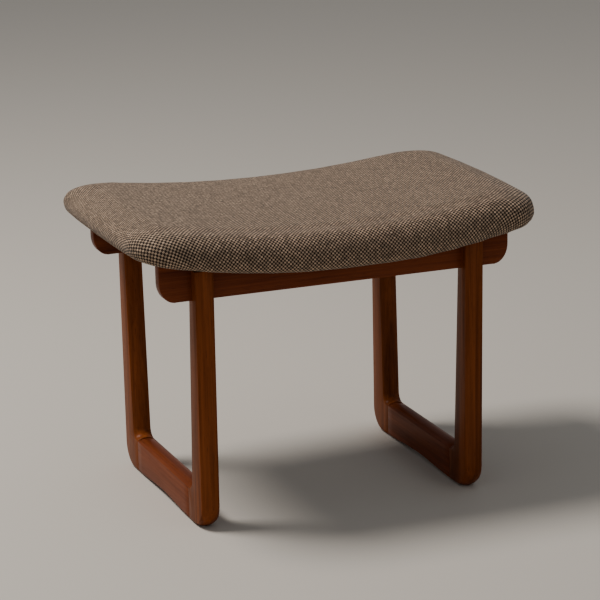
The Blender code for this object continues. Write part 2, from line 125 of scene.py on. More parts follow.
bpy.ops.object.select_all(action="DESELECT")
bpy.ops.mesh.primitive_plane_add(size=2 * FLOOR_HALF, location=(0, 0, -FLOOR_DROP))
floor = bpy.context.object
floor.name = "studio_floor"
bpy.ops.object.transform_apply(location=True, rotation=True, scale=True)
floor_finish, floor_tree, floor_shader = new_finish("pale_floor", (0.60, 0.55, 0.48, 1.0), 0.8)
floor_spots = add_node(floor_tree, "ShaderNodeTexNoise", Scale=1.3, Detail=3.0).outputs[0]
floor_color = blend_color(floor_tree, floor_spots, (0.58, 0.525, 0.455, 1.0), (0.62, 0.57, 0.50, 1.0))
wire(floor_tree, floor_shader.inputs["Base Color"], floor_color)
dress(floor, floor_finish)


# Studio light.
# A large soft key stands to the left and a little behind, so that the left end is the
# brightest face and the front is in shade. A weak front fill and a pale sky open the shade.
LIT_POINT = (0.0, 0.0, 0.3)
SKY_STRENGTH = 0.27


def soft_light(name, place, size, watts, color):
    """A round lamp that faces the stool."""
    bpy.ops.object.select_all(action="DESELECT")
    bpy.ops.object.light_add(type="AREA", location=place)
    lamp = bpy.context.object
    lamp.name = name
    lamp.rotation_euler = (Vector(LIT_POINT) - Vector(place)).to_track_quat("-Z", "Y").to_euler()
    lamp.data.shape = "DISK"
    lamp.data.size = size
    lamp.data.energy = watts
    lamp.data.color = color


soft_light("key", (-1.55, 0.75, 3.2), 1.2, 112.0, (1.0, 0.97, 0.94))
soft_light("fill", (1.6, -3.4, 1.6), 2.4, 6.0, (1.0, 0.93, 0.84))

world = bpy.data.worlds.new("pale_studio")
world.use_nodes = True
world.node_tree.nodes["Background"].inputs["Color"].default_value = (0.93, 0.96, 1.0, 1.0)
world.node_tree.nodes["Background"].inputs["Strength"].default_value = SKY_STRENGTH
bpy.context.scene.world = world


# Timber finish, shared by the legs, the floor rails, the aprons and the cross rails.
# Reddish-brown hardwood, oiled to a satin. The grain runs along the group's local X: dark
# and light bands, fine open pores, and a slow drift of colour from board to board.
def new_group(name, inputs, outputs):
    """A shader group with named sockets; returns (group, its inputs node, its outputs node)."""
    made = bpy.data.node_groups.new(name, "ShaderNodeTree")
    for label, kind, default in inputs:
        socket = made.interface.new_socket(label, in_out="INPUT", socket_type=kind)
        if default is not None:
            socket.default_value = default
    for label, kind in outputs:
        made.interface.new_socket(label, in_out="OUTPUT", socket_type=kind)
    return made, made.nodes.new("NodeGroupInput"), made.nodes.new("NodeGroupOutput")


timber_grain, grain_in, grain_out = new_group(
    "timber_grain",
    [("Vector", "NodeSocketVector", None), ("Dark", "NodeSocketColor", (0.055, 0.015, 0.006, 1.0)),
     ("Light", "NodeSocketColor", (0.19, 0.062, 0.025, 1.0)), ("Offset", "NodeSocketFloat", 0.0)],
    [("Color", "NodeSocketColor"), ("Roughness", "NodeSocketFloat"), ("Height", "NodeSocketFloat")])
t = timber_grain
shifted = add_node(t, "ShaderNodeVectorMath", grain_in.outputs["Vector"], operation="ADD")
wire(t, shifted.inputs[1], add_node(t, "ShaderNodeCombineXYZ", grain_in.outputs["Offset"],
                                    grain_in.outputs["Offset"], grain_in.outputs["Offset"]).outputs[0])
shifted = shifted.outputs[0]


def stretched(tree, vector, along, across):
    """Scale coordinates so that a texture draws out along X."""
    return add_node(tree, "ShaderNodeMapping", vector, Scale=(along, across, across)).outputs[0]


bands = add_node(t, "ShaderNodeTexNoise", stretched(t, shifted, 2.6, 62.0), Scale=1.0, Detail=4.0,
                 Roughness=0.55, Distortion=0.9).outputs[0]
streaks = add_node(t, "ShaderNodeTexNoise", stretched(t, shifted, 5.0, 420.0), Scale=1.0, Detail=5.0,
                   Roughness=0.62, Distortion=0.2).outputs[0]
drift = add_node(t, "ShaderNodeTexNoise", stretched(t, shifted, 3.0, 14.0), Scale=1.0, Detail=2.0).outputs[0]
pores = add_node(t, "ShaderNodeTexNoise", stretched(t, shifted, 55.0, 1500.0), Scale=1.0, Detail=2.0,
                 Roughness=0.5).outputs[0]
pore_mask = add_node(t, "ShaderNodeMapRange", pores, 0.60, 0.72, 0.0, 1.0).outputs[0]
band_mask = add_node(t, "ShaderNodeMapRange", bands, 0.36, 0.66, 0.0, 1.0).outputs[0]
streak_mask = add_node(t, "ShaderNodeMapRange", streaks, 0.3, 0.7, 0.0, 1.0).outputs[0]
mixed = sum_of(t, "MULTIPLY_ADD", band_mask, 0.55, sum_of(t, "MULTIPLY", streak_mask, 0.45))
mixed = sum_of(t, "MULTIPLY_ADD", sum_of(t, "SUBTRACT", drift, 0.5), 0.8, mixed)
mixed = add_node(t, "ShaderNodeClamp", mixed).outputs[0]
grain_color = blend_color(t, mixed, grain_in.outputs["Dark"], grain_in.outputs["Light"])
grain_color = blend_color(t, sum_of(t, "MULTIPLY", pore_mask, 0.55), grain_color, (0.02, 0.006, 0.003, 1.0))
wire(t, grain_out.inputs["Color"], grain_color)
wire(t, grain_out.inputs["Roughness"],
     sum_of(t, "MULTIPLY_ADD", pore_mask, 0.18, sum_of(t, "MULTIPLY_ADD", streak_mask, -0.08, 0.38)))
wire(t, grain_out.inputs["Height"],
     sum_of(t, "MULTIPLY_ADD", pore_mask, -1.0, sum_of(t, "MULTIPLY", streak_mask, 0.35)))


def timber(name, grain_turn, offset, dark, light):
    """An oiled timber finish whose grain runs along X once the piece is turned by grain_turn."""
    made, tree, shader = new_finish(name, light, 0.4, Specular_IOR_Level=0.03,
                                    Coat_Weight=0.05, Coat_Roughness=0.22)
    place = add_node(tree, "ShaderNodeTexCoord").outputs["Object"]
    place = add_node(tree, "ShaderNodeMapping", place, Rotation=grain_turn).outputs[0]
    grain = tree.nodes.new("ShaderNodeGroup")
    grain.node_tree = timber_grain
    for key, value in (("Vector", place), ("Dark", dark), ("Light", light), ("Offset", offset)):
        wire(tree, grain.inputs[key], value)
    wire(tree, shader.inputs["Base Color"], grain.outputs["Color"])
    wire(tree, shader.inputs["Roughness"], grain.outputs["Roughness"])
    bump = add_node(tree, "ShaderNodeBump", Strength=0.25, Distance=0.0003, Height=grain.outputs["Height"])
    wire(tree, shader.inputs["Normal"], bump.outputs[0])
    return made


UPRIGHT = (0.0, math.pi / 2, 0.0)       # grain up the legs
LEVEL_Y = (0.0, 0.0, -math.pi / 2)      # grain from front to back
LEVEL_X = (0.0, 0.0, 0.0)               # grain along the seat
LEG_DARK = (0.082, 0.0195, 0.0042, 1.0)
LEG_LIGHT = (0.265, 0.068, 0.015, 1.0)
RAIL_DARK = (0.074, 0.0155, 0.0055, 1.0)
RAIL_LIGHT = (0.215, 0.052, 0.016, 1.0)


# Legs.
# Four uprights of 26 mm hardwood, each sawn in one piece with its foot. The side faces are
# flat, the others swell, the top is halved for the apron, and the foot is planed flat below.
FLAT_LOW = 0.003            # lower edge of the flat side faces
FOOT_TOP = 0.0467           # upper edge of the foot's flat side faces
LEG_INNER = (0.1245, 0.1396)    # inner edge of the flat faces at the foot and at the top
LEG_OUTER = (0.1604, 0.1629)
HEEL_RADIUS = 0.031
HEEL_SEGMENTS = 14
FILLET_RADIUS = 0.014
FILLET_SEGMENTS = 10
CROWN = 0.005
CROWN_CUTS = 9              # cuts across the timber that carry the swell
SPARE = 0.02                # length left on until the ends are cut true
HAIRLINE = 0.0003           # gap at a joint
NEAR = 1e-4                 # how close a point must be to count as on an edge
SHADE_ANGLE = math.radians(38.0)


def only(piece):
    """Make this the one selected and active object."""
    bpy.ops.object.select_all(action="DESELECT")
    piece.select_set(True)
    bpy.context.view_layer.objects.active = piece


def block(name, low, high):
    """A box between two corners, in edit mode, with its place in its mesh."""
    bpy.ops.object.select_all(action="DESELECT")
    size = [b - a for a, b in zip(low, high)]
    middle = [(a + b) / 2 for a, b in zip(low, high)]
    bpy.ops.mesh.primitive_cube_add(size=1.0, location=middle, scale=size)
    piece = bpy.context.object
    piece.name = name
    bpy.ops.object.transform_apply(location=True, rotation=True, scale=True)
    bpy.ops.object.mode_set(mode="EDIT")
    return piece


def pick(piece, mode, chosen):
    """Select, in edit mode, only the vertices, edges or faces that pass the test."""
    bpy.ops.object.mode_set(mode="EDIT")
    bpy.ops.mesh.select_all(action="DESELECT")
    bpy.ops.mesh.select_mode(type=mode)
    bpy.ops.object.mode_set(mode="OBJECT")
    mesh = piece.data
    if mode == "VERT":
        for vert in mesh.vertices:
            vert.select = chosen(vert.co)
    elif mode == "EDGE":
        for edge in mesh.edges:
            edge.select = all(chosen(mesh.vertices[i].co) for i in edge.vertices)
    else:
        for face in mesh.polygons:
            face.select = chosen(face.center, face.normal)
    bpy.ops.object.mode_set(mode="EDIT")


def bow(piece, edge, at, move, reach, falloff):
    """Draw one edge of a piece into a curve: the rest of the mesh is hidden while it moves."""
    pick(piece, "VERT", edge)
    bpy.ops.mesh.hide(unselected=True)
    pick(piece, "VERT", lambda co: edge(co) and at(co))
    bpy.ops.transform.translate(value=move, use_proportional_edit=True, proportional_size=reach,
                                proportional_edit_falloff=falloff)
    bpy.ops.mesh.reveal(select=False)


def slice_at(place, normal, clear_outer=False):
    """Cut the whole mesh with a plane; clear_outer takes off what is past it and closes the cut."""
    bpy.ops.mesh.select_all(action="SELECT")
    bpy.ops.mesh.bisect(plane_co=place, plane_no=normal, use_fill=clear_outer, clear_outer=clear_outer)


def swell(piece, middle_x, ends):
    """Cut the timber into strips across X and raise them in a shallow crown, off the flat sides."""
    half = (leg_high.x - leg_low.x) / 2
    for i in range(1, CROWN_CUTS + 1):
        slice_at((middle_x - half + 2 * half * i / (CROWN_CUTS + 1), 0, 0), (1, 0, 0))
    pick(piece, "VERT", lambda co: abs(co.x - middle_x) < 1e-5 and not ends(co))
    bpy.ops.transform.shrink_fatten(value=CROWN, use_proportional_edit=True, proportional_size=half,
                                    proportional_edit_falloff="INVERSE_SQUARE")


def finish_edges(piece, width, segments=2, angle=32.0):
    """Ease the sharp edges, as sandpaper does, and shade the curves smooth."""
    bpy.ops.object.mode_set(mode="OBJECT")
    only(piece)
    ease = piece.modifiers.new("Ease", "BEVEL")
    ease.width = width
    ease.segments = segments
    ease.limit_method = "ANGLE"
    ease.angle_limit = math.radians(angle)
    bpy.ops.object.modifier_apply(modifier=ease.name)
    bpy.ops.object.shade_smooth_by_angle(angle=SHADE_ANGLE)


leg_low, leg_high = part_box("right_rear_leg")
leg_middle = (leg_low.x + leg_high.x) / 2
leg = block("timber_leg", (leg_low.x, leg_low.y - SPARE, FLAT_LOW), (leg_high.x, LEG_OUTER[0], FOOT_TOP))
slice_at((0, LEG_INNER[0], 0), (0, 1, 0))
pick(leg, "FACE", lambda middle, normal: normal.z > 0.9 and middle.y > LEG_INNER[0])
leg_top = leg_high.z + SPARE
bpy.ops.mesh.extrude_region_move(TRANSFORM_OT_translate={"value": (0, 0, leg_top - FOOT_TOP)})
for low_y, high_y in (LEG_INNER, LEG_OUTER):
    pick(leg, "VERT", lambda co: co.z > leg_top - NEAR and abs(co.y - low_y) < NEAR)
    bpy.ops.transform.translate(value=(0, high_y - low_y, 0))
pick(leg, "EDGE", lambda co: abs(co.y - LEG_OUTER[0]) < NEAR and abs(co.z - FLAT_LOW) < NEAR)
bpy.ops.mesh.bevel(offset=HEEL_RADIUS, segments=HEEL_SEGMENTS, affect="EDGES", clamp_overlap=False)
pick(leg, "EDGE", lambda co: abs(co.y - LEG_INNER[0]) < NEAR and abs(co.z - FOOT_TOP) < NEAR)
bpy.ops.mesh.bevel(offset=FILLET_RADIUS, segments=FILLET_SEGMENTS, affect="EDGES", clamp_overlap=False)
swell(leg, leg_middle, lambda co: co.z > leg_top - NEAR or co.y < leg_low.y - SPARE + NEAR)
slice_at((0, 0, 0), (0, 0, -1), clear_outer=True)
slice_at((0, leg_low.y, 0), (0, -1, 0), clear_outer=True)
slice_at((0, 0, leg_high.z), (0, 0, 1), clear_outer=True)
finish_edges(leg, 0.0006)


def carve(piece, cutters):
    """Take away what the cutters fill, and the cutters with it."""
    for cutter in cutters:
        only(piece)
        hollow = piece.modifiers.new("Hollow", "BOOLEAN")
        hollow.operation = "DIFFERENCE"
        hollow.solver = "EXACT"
        hollow.object = cutter
        bpy.ops.object.modifier_apply(modifier=hollow.name)
        bpy.data.objects.remove(cutter)
    only(piece)
    bpy.ops.object.shade_smooth_by_angle(angle=SHADE_ANGLE)


apron_low, apron_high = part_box("rear_apron")
notch = block("notch", (leg_low.x - SPARE, leg_low.y - SPARE, apron_low.z - HAIRLINE),
              (leg_high.x + SPARE, apron_high.y + HAIRLINE, leg_high.z + SPARE))
bpy.ops.object.mode_set(mode="OBJECT")
carve(leg, [notch])


HOLE_EASE = 0.0006          # room round a dowel or a screw
HOLE_SIDES = 20
SCREW_RADIUS = 0.002


def bore(part, radius=None):
    """A round cutter along Y for the hole that a dowel or screw lies in."""
    low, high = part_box(part)
    radius = radius or (high.z - low.z) / 2
    bpy.ops.object.select_all(action="DESELECT")
    bpy.ops.mesh.primitive_cylinder_add(
        vertices=HOLE_SIDES, radius=radius + HOLE_EASE, depth=high.y - low.y + 2 * HOLE_EASE,
        location=[(a + b) / 2 for a, b in zip(low, high)], rotation=(math.pi / 2, 0, 0))
    bpy.ops.object.transform_apply(location=True, rotation=True, scale=True)
    return bpy.context.object


for part in ("floor_dowel_lower", "floor_dowel_upper", "leg_screw_lower", "leg_screw_upper"):
    carve(leg, [bore("right_rear_" + part, SCREW_RADIUS if "screw" in part else None)])


def copy_to(source, name, x_side, y_side):
    """Copy a piece to another corner, mirrored where its side is the other one."""
    only(source)
    bpy.ops.object.duplicate()
    made = bpy.context.object
    made.name = name
    made.scale = (x_side, y_side, 1)
    bpy.ops.object.transform_apply(location=True, rotation=True, scale=True)
    bpy.ops.object.mode_set(mode="EDIT")
    bpy.ops.mesh.select_all(action="SELECT")
    bpy.ops.mesh.normals_make_consistent(inside=False)
    bpy.ops.object.mode_set(mode="OBJECT")
    return made


SIDES = {"left": -1, "right": 1}
DEPTHS = {"front": -1, "rear": 1}
timbers_used = 0
for side, x_side in SIDES.items():
    for depth, y_side in DEPTHS.items():
        name = side + "_" + depth
        piece = copy_to(leg, name + "_upright", x_side, y_side)
        dress(piece, timber(name + "_leg_timber", UPRIGHT, 0.37 * timbers_used, LEG_DARK, LEG_LIGHT))
        timbers_used += 1
        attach(piece, "root")
        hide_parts(name + "_leg")
bpy.data.objects.remove(leg)


# Floor rails.
# One low rail joins the two feet of each sled, butted and dowelled. Its top is crowned like
# the feet, and its underside is arched a little so that only the feet stand.
ARCH = 0.0045
RAIL_STATIONS = 12
rail_low, rail_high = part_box("right_floor_rail")
rail = block("timber_rail", (leg_low.x, rail_low.y - SPARE, FLAT_LOW),
             (leg_high.x, rail_high.y + SPARE, FOOT_TOP))
for i in range(1, RAIL_STATIONS):
    slice_at((0, rail_low.y + (rail_high.y - rail_low.y) * i / RAIL_STATIONS, 0), (0, 1, 0))
bow(rail, lambda co: co.z < FLAT_LOW + NEAR, lambda co: abs(co.y) < NEAR, (0, 0, ARCH), rail_high.y, "SMOOTH")
swell(rail, leg_middle, lambda co: abs(co.y) > rail_high.y + SPARE - NEAR)
slice_at((0, 0, 0), (0, 0, -1), clear_outer=True)
slice_at((0, rail_low.y, 0), (0, -1, 0), clear_outer=True)
slice_at((0, rail_high.y, 0), (0, 1, 0), clear_outer=True)
finish_edges(rail, 0.0005)
for depth in DEPTHS:
    for part in ("lower", "upper"):
        carve(rail, [bore(f"right_{depth}_floor_dowel_{part}")])
for side, x_side in SIDES.items():
    piece = copy_to(rail, side + "_sled_rail", x_side, 1)
    dress(piece, timber(side + "_rail_timber", LEVEL_Y, 2.3 + x_side, RAIL_DARK, RAIL_LIGHT))
    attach(piece, "root")
    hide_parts(side + "_floor_rail")
bpy.data.objects.remove(rail)


# Aprons.
# Two long rails let into the legs, one under each side of the seat. The top is hollowed to
# the saddle, the lower corners are rounded up at the ends, and the arrises are eased.
APRON_STATIONS = 24
CORNER_CUT = 0.027          # how far the rounded lower corner reaches
saddle_end = apron_high.z
saddle_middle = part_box("seat_board")[0].z - 0.0036
apron = block("timber_apron", apron_low, (apron_high.x, apron_high.y, saddle_end))
for i in range(1, APRON_STATIONS):
    slice_at((apron_low.x + (apron_high.x - apron_low.x) * i / APRON_STATIONS, 0, 0), (1, 0, 0))
bow(apron, lambda co: co.z > saddle_end - NEAR, lambda co: abs(co.x) < NEAR,
    (0, 0, saddle_middle - saddle_end), apron_high.x, "INVERSE_SQUARE")
pick(apron, "EDGE", lambda co: abs(co.x) > apron_high.x - NEAR and co.z < apron_low.z + NEAR)
bpy.ops.mesh.bevel(offset=CORNER_CUT, segments=12, profile=0.5, affect="EDGES", clamp_overlap=False)
finish_edges(apron, 0.0012, segments=3)
for side, x_side in SIDES.items():
    for part in ("leg_screw_lower", "leg_screw_upper", "cross_dowel_lower", "cross_dowel_upper"):
        carve(apron, [bore(f"{side}_rear_{part}")])
for depth, y_side in DEPTHS.items():
    piece = copy_to(apron, depth + "_saddle_apron", 1, y_side)
    dress(piece, timber(depth + "_apron_timber", LEVEL_X, 5.1 + y_side, RAIL_DARK, RAIL_LIGHT))
    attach(piece, "root")
    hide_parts(depth + "_apron")
bpy.data.objects.remove(apron)


# Cross rails, seat board and their fixings, all as the frame has them.
# The cross rails are the same hardwood, the board is bent birch plywood, the dowels are
# beech, and the bolts, inserts and screws are zinc plated.
for side, x_side in SIDES.items():
    finish = timber(side + "_cross_timber", LEVEL_Y, 7.7 + x_side, RAIL_DARK, RAIL_LIGHT)
    dress(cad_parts[side + "_cross_rail"], finish)



def pale_timber(name, grain_turn, color, dark, light):
    """Bare pale timber, with the same grain but no oil."""
    made, tree, shader = new_finish(name, color, 0.6)
    place = add_node(tree, "ShaderNodeTexCoord").outputs["Object"]
    place = add_node(tree, "ShaderNodeMapping", place, Rotation=grain_turn).outputs[0]
    grain = tree.nodes.new("ShaderNodeGroup")
    grain.node_tree = timber_grain
    for key, value in (("Vector", place), ("Dark", dark), ("Light", light)):
        wire(tree, grain.inputs[key], value)
    wire(tree, shader.inputs["Base Color"], grain.outputs["Color"])
    wire(tree, shader.inputs["Roughness"], grain.outputs["Roughness"])
    return made


plywood = pale_timber("birch_plywood", LEVEL_X, (0.58, 0.42, 0.26, 1.0),
                      (0.46, 0.31, 0.17, 1.0), (0.64, 0.48, 0.31, 1.0))
dress(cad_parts["seat_board"], plywood)
beech = pale_timber("beech_dowel", LEVEL_Y, (0.60, 0.42, 0.26, 1.0),
                    (0.42, 0.27, 0.15, 1.0), (0.62, 0.45, 0.29, 1.0))

zinc, tree, shader = new_finish("zinc_plate", (0.56, 0.56, 0.54, 1.0), 0.34, Metallic=1.0)
place = add_node(tree, "ShaderNodeTexCoord").outputs["Object"]
spots = add_node(tree, "ShaderNodeTexNoise", place, Scale=420.0, Detail=3.0).outputs[0]
wire(tree, shader.inputs["Roughness"], sum_of(tree, "MULTIPLY_ADD", spots, 0.25, 0.22))
wire(tree, shader.inputs["Base Color"],
     blend_color(tree, spots, (0.46, 0.46, 0.44, 1.0), (0.66, 0.66, 0.63, 1.0)))
for name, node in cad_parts.items():
    if "dowel" in name:
        dress(node, beech)
    elif "screw" in name or "bolt" in name or "insert" in name:
        dress(node, zinc)


def merged_copy(node, name):
    """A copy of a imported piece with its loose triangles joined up."""
    made = bpy.data.objects.new(name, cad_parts[node].data.copy())
    bpy.context.collection.objects.link(made)
    only(made)
    bpy.ops.object.mode_set(mode="EDIT")
    bpy.ops.mesh.select_all(action="SELECT")
    bpy.ops.mesh.remove_doubles(threshold=NEAR / 10)
    bpy.ops.object.mode_set(mode="OBJECT")
    return made


lining = merged_copy("dust_lining", "dust_cloth")
bpy.ops.object.shade_smooth_by_angle(angle=math.radians(40.0))
dust_cloth, tree, shader = new_finish("black_non_woven", (0.02, 0.02, 0.021, 1.0), 0.9)
place = add_node(tree, "ShaderNodeTexCoord").outputs["Object"]
fibres = add_node(tree, "ShaderNodeTexNoise", place, Scale=900.0, Detail=4.0, Distortion=1.5).outputs[0]
clouds = add_node(tree, "ShaderNodeTexNoise", place, Scale=90.0, Detail=3.0).outputs[0]
wire(tree, shader.inputs["Base Color"],
     blend_color(tree, sum_of(tree, "MULTIPLY", fibres, clouds),
                 (0.012, 0.012, 0.013, 1.0), (0.06, 0.06, 0.062, 1.0)))
wire(tree, shader.inputs["Roughness"], sum_of(tree, "MULTIPLY_ADD", clouds, 0.2, 0.78))
wire(tree, shader.inputs["Normal"],
     add_node(tree, "ShaderNodeBump", Strength=0.4, Distance=0.0003, Height=fibres).outputs[0])
dress(lining, dust_cloth)
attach(lining, "root")
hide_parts("dust_lining")


# Upholstered seat.
# One piece of two-tone hopsack drawn tight over foam and turned under all round, with no seam.
# Pressure swells the closed form, which is then cut open below and given its thickness.
VOXEL = 0.006
STARTS_IN = 0.0008          # the form starts this much smaller, because it swells
MOVE_OUT = 0.0035           # how far a point may move out, in, and along the cloth
MOVE_IN = 0.0002
MOVE_ALONG = 0.003
HEM_REACH = 0.036           # cloth turned under, measured from the widest line
CLOTH_THICK = 0.0012
PRESSURE = 4.0
LAST_STEP = 20
HELD_DEEP = 0.004           # cloth this near the board is held still
SMOOTHED_ABOVE = 0.012      # cloth this far above the board is smoothed after it swells
SADDLE_HALF = 0.288         # the board's underside rises by SADDLE_RISE at this far from the middle
SADDLE_RISE = 0.0345
cover_low, cover_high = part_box("seat_cover")


form = [merged_copy(node, "form_" + node) for node in ("seat_cover", "seat_foam", "seat_board")]
only(form[0])
for layer in form[1:]:
    layer.select_set(True)
bpy.ops.object.join()
cushion = form[0]
cushion.name = "upholstered_seat"
remesh = cushion.modifiers.new("Even", "REMESH")
remesh.mode = "VOXEL"
remesh.voxel_size = VOXEL
bpy.ops.object.modifier_apply(modifier=remesh.name)


def underside(x):
    """Height of the board's underside along the saddle."""
    return cover_low.z + SADDLE_RISE * (x / SADDLE_HALF) ** 2


bpy.ops.object.mode_set(mode="EDIT")
bpy.ops.mesh.select_all(action="SELECT")
bpy.ops.mesh.vertices_smooth(factor=0.5, repeat=2)
pick(cushion, "VERT", lambda co: co.z > underside(co.x) + HELD_DEEP)
bpy.ops.transform.shrink_fatten(value=-STARTS_IN)
bpy.ops.object.mode_set(mode="OBJECT")
held = cushion.vertex_groups.new(name="held")
below = [v.index for v in cushion.data.vertices if v.co.z < underside(v.co.x) + HELD_DEEP]
held.add(below, 1.0, "REPLACE")

start = [(v.co.copy(), v.normal.copy()) for v in cushion.data.vertices]
only(cushion)
cloth = cushion.modifiers.new("Cloth", "CLOTH")
cloth.settings.quality = 6
cloth.settings.mass = 0.35
cloth.settings.tension_stiffness = 18.0
cloth.settings.compression_stiffness = 18.0
cloth.settings.shear_stiffness = 8.0
cloth.settings.bending_stiffness = 0.6
cloth.settings.use_pressure = True
cloth.settings.uniform_pressure_force = PRESSURE
cloth.settings.vertex_group_mass = "held"
cloth.settings.effector_weights.gravity = 0.0
for step in range(1, LAST_STEP + 1):
    bpy.context.scene.frame_set(step)
bpy.ops.object.modifier_apply(modifier=cloth.name)
bpy.context.scene.frame_set(1)
for vert, (place, normal) in zip(cushion.data.vertices, start):
    moved = vert.co - place
    out = moved.dot(normal)
    along = moved - normal * out
    if along.length > MOVE_ALONG:
        along *= MOVE_ALONG / along.length
    vert.co = place + along + normal * min(MOVE_OUT, max(-MOVE_IN, out))
pick(cushion, "VERT", lambda co: co.z > underside(co.x) + SMOOTHED_ABOVE)
bpy.ops.mesh.vertices_smooth(factor=0.5, repeat=3)
bpy.ops.object.mode_set(mode="OBJECT")


def ease_in(value, low, high):
    """0 below low, 1 above high, and a smooth step between."""
    share = min(1.0, max(0.0, (value - low) / (high - low)))
    return share * share * (3.0 - 2.0 * share)


# The padding stands a little fuller at the right end, and hangs lower past the apron there.
FULLER_OUT = 0.0055
FULLER_DOWN = 0.0055
FRONT_DOWN = 0.0042
SEAT_DEEP = 0.050
for vert in cushion.data.vertices:
    x, y, z = vert.co
    low_share = 1.0 - ease_in((z - underside(x)) / SEAT_DEEP, 0.30, 0.95)
    outside = max(ease_in(abs(y), 0.151, 0.173), ease_in(abs(x), 0.256, 0.276))
    at_end = ease_in(x, 0.16, 0.285)
    at_front = ease_in(x, -0.08, 0.16) if y < 0 else 0.0
    vert.co.x += FULLER_OUT * at_end * (0.35 + 0.65 * low_share)
    vert.co.z -= low_share * outside * max(FULLER_DOWN * at_end, FRONT_DOWN * at_front)

# The cloth is pushed outside the pad. Smoothing and the cloth's thickness take some of that
# back, so it still dips into the pad and the board by under 1 mm in places, out of sight.
CLEAR_OF_PAD = 0.0021
pad = merged_copy("seat_foam", "foam_pad")
only(cushion)
press = cushion.modifiers.new("Over pad", "SHRINKWRAP")
press.target = pad
press.wrap_method = "NEAREST_SURFACEPOINT"
press.wrap_mode = "OUTSIDE"
press.offset = CLEAR_OF_PAD
bpy.ops.object.modifier_apply(modifier=press.name)

# The middle of the underside is cut away, and the dust cloth covers the opening.
HEM_CORNER = 0.030
HEM_BOWED_IN = 0.014        # how far the long hems come in at the ends
hem_x = cover_high.x - HEM_REACH
hem_y = cover_high.y - HEM_REACH


def inside_hem(x, y):
    """Whether a point under the seat is inside the edge of the turned-under cloth."""
    across = max(0.0, abs(x) - (hem_x - HEM_CORNER))
    deep = max(0.0, abs(y) - (hem_y - HEM_BOWED_IN * (x / SADDLE_HALF) ** 2 - HEM_CORNER))
    return math.hypot(across, deep) < HEM_CORNER


pick(cushion, "FACE", lambda middle, normal: normal.z < -0.7 and inside_hem(middle.x, middle.y))
bpy.ops.mesh.delete(type="FACE")
bpy.ops.mesh.select_all(action="SELECT")
bpy.ops.uv.unwrap(method="MINIMUM_STRETCH", margin=0.0, iterations=20, no_flip=True)
bpy.ops.object.mode_set(mode="OBJECT")

# Turn and scale the flat pattern so that one unit is one metre and warp runs front to back.
pattern = cushion.data.uv_layers.active
pattern.name = "weave"
middle_face = min(cushion.data.polygons, key=lambda f: (f.center.xy.length if f.normal.z > 0.5 else 9.0))
corners = [(cushion.data.vertices[cushion.data.loops[i].vertex_index].co, pattern.data[i].uv.copy())
           for i in middle_face.loop_indices]
(p0, q0), (p1, q1), (p2, q2) = corners[0], corners[1], corners[-1]
on_seat = Matrix(((p1.x - p0.x, p2.x - p0.x), (p1.y - p0.y, p2.y - p0.y)))
on_pattern = Matrix(((q1.x - q0.x, q2.x - q0.x), (q1.y - q0.y, q2.y - q0.y)))
fit = on_seat @ on_pattern.inverted()
scale = math.sqrt(abs(fit.determinant()))
angle = math.atan2(fit[1][0], fit[0][0])
flip = 1.0 if fit.determinant() > 0 else -1.0
turned = Matrix(((math.cos(angle), -math.sin(angle)), (math.sin(angle), math.cos(angle)))) * scale
for corner in pattern.data:
    corner.uv = turned @ Vector((corner.uv.x - q0.x, flip * (corner.uv.y - q0.y)))

only(cushion)
smooth = cushion.modifiers.new("Smooth", "SUBSURF")
smooth.levels = 1
smooth.render_levels = 1
bpy.ops.object.modifier_apply(modifier=smooth.name)
wall = cushion.modifiers.new("Wall", "SOLIDIFY")
wall.thickness = CLOTH_THICK
wall.offset = -1.0
bpy.ops.object.modifier_apply(modifier=wall.name)
bpy.ops.object.shade_smooth()

# Hopsack: pairs of pale warp yarns over pairs of near-black weft, one unit of Vector a metre.
hopsack, weave_in, weave_out = new_group(
    "hopsack_weave",
    [("Vector", "NodeSocketVector", None), ("Pitch", "NodeSocketFloat", 0.0027),
     ("Pale", "NodeSocketColor", (0.62, 0.44, 0.30, 1.0)),
     ("Dark", "NodeSocketColor", (0.012, 0.007, 0.0045, 1.0))],
    [("Color", "NodeSocketColor"), ("Height", "NodeSocketFloat"), ("Roughness", "NodeSocketFloat")])
t = hopsack
wander = add_node(t, "ShaderNodeTexNoise", weave_in.outputs["Vector"],
                  Scale=95.0, Detail=2.0).outputs["Color"]
wander = add_node(t, "ShaderNodeVectorMath", wander, (-0.5, -0.5, -0.5), operation="ADD").outputs[0]
wander_scale = add_node(t, "ShaderNodeVectorMath", wander, operation="SCALE", Scale=0.0011).outputs[0]
place = add_node(t, "ShaderNodeVectorMath", weave_in.outputs["Vector"], wander_scale,
                 operation="ADD").outputs[0]
count = sum_of(t, "DIVIDE", 1.0, weave_in.outputs["Pitch"])
place = add_node(t, "ShaderNodeVectorMath", place, operation="SCALE", Scale=count).outputs[0]
split = add_node(t, "ShaderNodeSeparateXYZ", place)
u, v = split.outputs[0], split.outputs[1]
cell_u, cell_v = sum_of(t, "FLOOR", u), sum_of(t, "FLOOR", v)
over = sum_of(t, "FLOORED_MODULO", sum_of(t, "ADD", cell_u, cell_v), 2.0)


def ridge(along, across):
    """The rounded back of two yarns side by side, dipping at both ends of a cell."""
    yarn_place = sum_of(t, "FRACT", sum_of(t, "MULTIPLY", across, 2.0))
    round_back = sum_of(t, "SINE", sum_of(t, "MULTIPLY", yarn_place, math.pi))
    dip = sum_of(t, "SINE", sum_of(t, "MULTIPLY", sum_of(t, "FRACT", along), math.pi))
    round_back = sum_of(t, "MULTIPLY_ADD", sum_of(t, "SQRT", round_back), 0.65, 0.35)
    return sum_of(t, "MULTIPLY", round_back, sum_of(t, "SQRT", sum_of(t, "MAXIMUM", dip, 0.0)))


